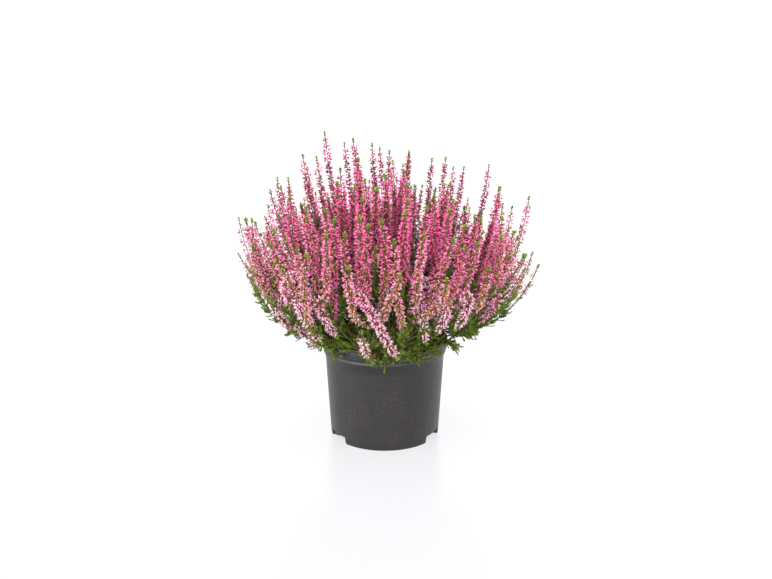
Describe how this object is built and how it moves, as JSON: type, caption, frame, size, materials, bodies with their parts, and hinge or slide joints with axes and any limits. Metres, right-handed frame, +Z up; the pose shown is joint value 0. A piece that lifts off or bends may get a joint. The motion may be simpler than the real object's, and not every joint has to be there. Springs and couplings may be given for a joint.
{
  "type": "potted heather",
  "caption": "Flowering heather growing in a moulded nursery pot: upright pink flower spikes over dense green foliage, standing on three feet.",
  "frame": {"origin": "on the pot's axis at the level of the surface it stands on", "axes": "+Z up, -Y towards the viewer of the plant's front, +X to that viewer's right"},
  "size_m": [0.2748, 0.2628, 0.2851],
  "materials": {
    "pot_plastic": "matte",
    "peat": "matte",
    "bark": "matte",
    "flowers": "satin",
    "foliage": "satin"
  },
  "bodies": {
    "root": {"pot": "pot_plastic", "compost": "peat", "woody_base": "bark", "flower_stem_01": "flowers", "flower_stem_02": "flowers", "flower_stem_03": "flowers", "flower_stem_04": "flowers", "flower_stem_05": "flowers", "flower_stem_06": "flowers", "flower_stem_07": "flowers", "flower_stem_08": "flowers", "flower_stem_09": "flowers", "flower_stem_10": "flowers", "flower_stem_11": "flowers", "flower_stem_12": "flowers", "flower_stem_13": "flowers", "flower_stem_14": "flowers", "flower_stem_15": "flowers", "flower_stem_16": "flowers", "flower_stem_17": "flowers", "flower_stem_18": "flowers", "flower_stem_19": "flowers", "flower_stem_20": "flowers", "flower_stem_21": "flowers", "flower_stem_22": "flowers", "flower_stem_23": "flowers", "flower_stem_24": "flowers", "flower_stem_25": "flowers", "flower_stem_26": "flowers", "flower_stem_27": "flowers", "flower_stem_28": "flowers", "flower_stem_29": "flowers", "flower_stem_30": "flowers", "flower_stem_31": "flowers", "flower_stem_32": "flowers", "flower_stem_33": "flowers", "flower_stem_34": "flowers", "flower_stem_35": "flowers", "flower_stem_36": "flowers", "flower_stem_37": "flowers", "flower_stem_38": "flowers", "flower_stem_39": "flowers", "flower_stem_40": "flowers", "flower_stem_41": "flowers", "flower_stem_42": "flowers", "flower_stem_43": "flowers", "flower_stem_44": "flowers", "flower_stem_45": "flowers", "flower_stem_46": "flowers", "leafy_shoot_01": "foliage", "leafy_shoot_02": "foliage", "leafy_shoot_03": "foliage", "leafy_shoot_04": "foliage", "leafy_shoot_05": "foliage", "leafy_shoot_06": "foliage", "leafy_shoot_07": "foliage", "leafy_shoot_08": "foliage", "leafy_shoot_09": "foliage", "leafy_shoot_10": "foliage", "leafy_shoot_11": "foliage"}
  },
  "joints": []
}
